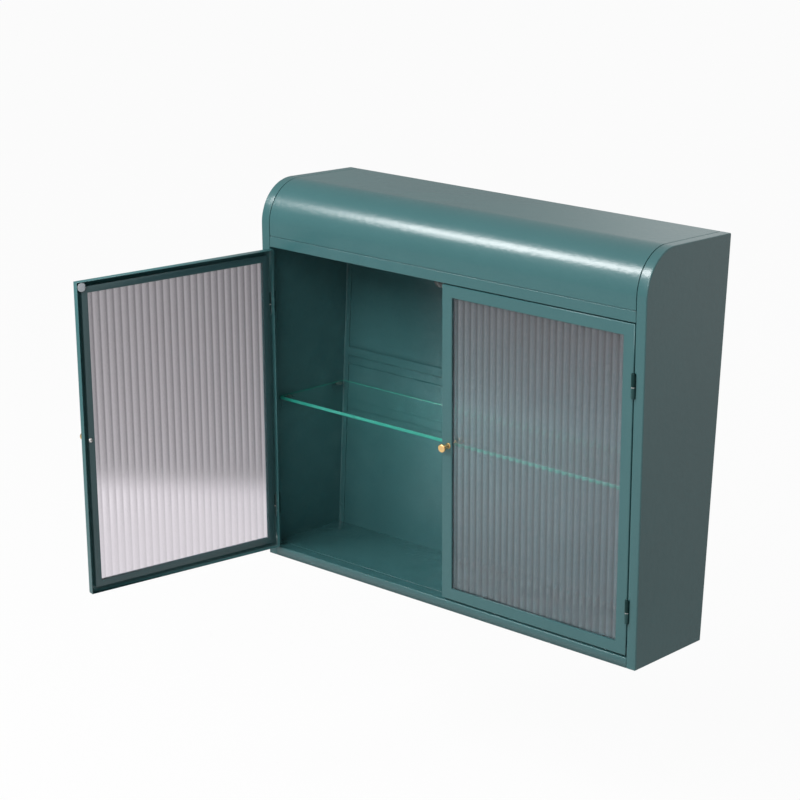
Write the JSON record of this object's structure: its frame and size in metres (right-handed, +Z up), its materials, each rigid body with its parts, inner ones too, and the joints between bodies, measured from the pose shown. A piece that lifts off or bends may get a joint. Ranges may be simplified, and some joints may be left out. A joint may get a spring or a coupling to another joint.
{
  "type": "bathroom wall cabinet",
  "caption": "Steel wall cabinet with a curved hood over a leaning front, hinged doors of fluted glass with knobs, and a glass shelf inside.",
  "frame": {"origin": "midway between the two wall-screw holes, on the plane of the wall at the back of the cabinet", "axes": "+X to the right seen from the front, +Y into the wall, +Z up"},
  "size_m": [0.7819, 0.5207, 0.6031],
  "materials": {
    "teal_paint": "semi-gloss powder coat",
    "dark_hinge": "satin, dark",
    "fluted_glass": "clear, fluted inside",
    "shelf_glass": "clear, green at the edge",
    "brass": "brushed",
    "black_rubber": "matt",
    "clear_pad": "soft, translucent",
    "grey_plastic": "moulded",
    "steel": "zinc plated"
  },
  "bodies": {
    "cabinet": {"left_side_panel": "teal_paint", "right_side_panel": "teal_paint", "hood_panel": "teal_paint", "hood_rail": "teal_paint", "bottom_rail": "teal_paint", "floor_panel": "teal_paint", "lower_back_panel": "teal_paint", "upper_back_panel": "teal_paint", "lip_screws": "steel", "floor_screws": "steel", "back_rivets": "teal_paint", "glass_shelf": "shelf_glass", "shelf_brackets": "teal_paint", "shelf_pads": "clear_pad", "catch_housing": "grey_plastic", "catch_magnets": "steel", "catch_screws": "steel", "left_upper_hinge_base": "dark_hinge", "left_lower_hinge_base": "dark_hinge", "left_upper_hinge_pin": "steel", "left_lower_hinge_pin": "steel", "left_hinge_washers": "grey_plastic", "left_band_rivets": "teal_paint", "right_upper_hinge_base": "dark_hinge", "right_lower_hinge_base": "dark_hinge", "right_upper_hinge_pin": "steel", "right_lower_hinge_pin": "steel", "right_hinge_washers": "grey_plastic", "right_band_rivets": "teal_paint"},
    "left_door": {"left_door_frame": "teal_paint", "left_glazing_seal": "black_rubber", "left_door_glass": "fluted_glass", "left_glass_retainer": "teal_paint", "left_knob": "brass", "left_knob_screw": "steel", "left_strike": "steel", "left_upper_hinge_leaf": "dark_hinge", "left_lower_hinge_leaf": "dark_hinge", "left_door_rivets": "teal_paint"},
    "right_door": {"right_door_frame": "teal_paint", "right_glazing_seal": "black_rubber", "right_door_glass": "fluted_glass", "right_glass_retainer": "teal_paint", "right_knob": "brass", "right_knob_screw": "steel", "right_strike": "steel", "right_upper_hinge_leaf": "dark_hinge", "right_lower_hinge_leaf": "dark_hinge", "right_door_rivets": "teal_paint"}
  },
  "joints": [
    {"name": "left_door_hinge", "type": "hinge", "parent": "cabinet", "child": "left_door", "pos_m": [-0.333, -0.18285, -0.28707], "axis": [0, 0.0652, -0.9979], "range_deg": [-105, 15]},
    {"name": "right_door_hinge", "type": "hinge", "parent": "cabinet", "child": "right_door", "pos_m": [0.333, -0.18285, -0.28707], "axis": [0, -0.0652, 0.9979], "range_deg": [0, 120]}
  ]
}
